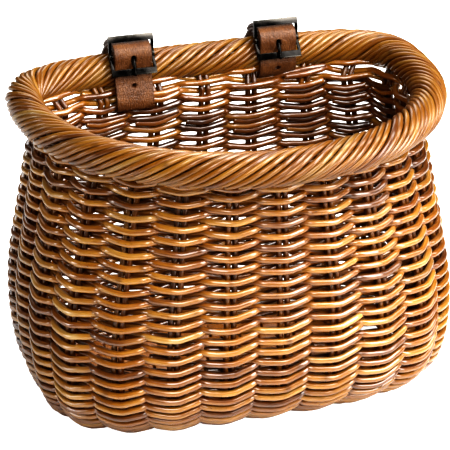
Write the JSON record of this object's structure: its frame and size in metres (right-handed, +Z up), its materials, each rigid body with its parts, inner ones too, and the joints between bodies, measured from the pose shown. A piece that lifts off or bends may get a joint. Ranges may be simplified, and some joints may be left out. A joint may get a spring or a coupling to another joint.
{
  "type": "handlebar basket",
  "caption": "D-shaped woven rattan basket with a thick rolled rim and buckled leather strap loops on its flat back that hang it on a bicycle handlebar.",
  "frame": {"origin": "middle of the base's underside, on the ground, below the middle of the flat back's width", "axes": "+X to the right seen from the bowed front, +Y towards the handlebar, +Z up"},
  "size_m": [0.3444, 0.2771, 0.2692],
  "materials": {
    "rattan_strand": "gloss varnish",
    "rattan_rod": "gloss varnish",
    "leather": "satin",
    "gunmetal": "gloss black nickel"
  },
  "bodies": {
    "basket_body": {"base_hoop": "rattan_rod", "base_rails": "rattan_rod", "base_splints": "rattan_strand", "foot_row_01": "rattan_strand", "foot_row_02": "rattan_strand", "foot_row_03": "rattan_strand", "foot_row_04": "rattan_strand", "foot_row_05": "rattan_strand", "foot_row_06": "rattan_strand", "foot_row_07": "rattan_strand", "foot_row_08": "rattan_strand", "foot_row_09": "rattan_strand", "foot_row_10": "rattan_strand", "rim_border": "rattan_strand", "rim_core": "rattan_rod", "side_stakes": "rattan_rod", "weave_row_01": "rattan_strand", "weave_row_02": "rattan_strand", "weave_row_03": "rattan_strand", "weave_row_04": "rattan_strand", "weave_row_05": "rattan_strand", "weave_row_06": "rattan_strand", "weave_row_07": "rattan_strand", "weave_row_08": "rattan_strand", "weave_row_09": "rattan_strand", "weave_row_10": "rattan_strand", "weave_row_11": "rattan_strand", "weave_row_12": "rattan_strand", "weave_row_13": "rattan_strand", "weave_row_14": "rattan_strand", "weave_row_15": "rattan_strand", "weave_row_16": "rattan_strand", "weave_row_17": "rattan_strand"},
    "left_strap": {"strap_left": "leather", "strap_rivet_left": "gunmetal"},
    "left_buckle": {"buckle_frame_left": "gunmetal", "buckle_pin_left": "gunmetal"},
    "left_prong": {"prong_left": "gunmetal"},
    "right_strap": {"strap_right": "leather", "strap_rivet_right": "gunmetal"},
    "right_buckle": {"buckle_frame_right": "gunmetal", "buckle_pin_right": "gunmetal"},
    "right_prong": {"prong_right": "gunmetal"}
  },
  "joints": [
    {"name": "left_strap_swing", "type": "hinge", "parent": "basket_body", "child": "left_strap", "pos_m": [-0.06, 0.0726, 0.2375], "axis": [1, 0, 0], "range_deg": [-3, 1]},
    {"name": "left_buckle_tilt", "type": "hinge", "parent": "left_strap", "child": "left_buckle", "pos_m": [-0.06, 0.0602, 0.2526], "axis": [1, 0, 0], "range_deg": [-3, 2]},
    {"name": "left_prong_lift", "type": "hinge", "parent": "left_buckle", "child": "left_prong", "pos_m": [-0.06, 0.0602, 0.2526], "axis": [-1, 0, 0], "range_deg": [0, 8]},
    {"name": "right_strap_swing", "type": "hinge", "parent": "basket_body", "child": "right_strap", "pos_m": [0.06, 0.0726, 0.2375], "axis": [1, 0, 0], "range_deg": [-3, 2]},
    {"name": "right_buckle_tilt", "type": "hinge", "parent": "right_strap", "child": "right_buckle", "pos_m": [0.06, 0.0602, 0.2526], "axis": [1, 0, 0], "range_deg": [-3, 2]},
    {"name": "right_prong_lift", "type": "hinge", "parent": "right_buckle", "child": "right_prong", "pos_m": [0.06, 0.0602, 0.2526], "axis": [-1, 0, 0], "range_deg": [0, 8]}
  ]
}
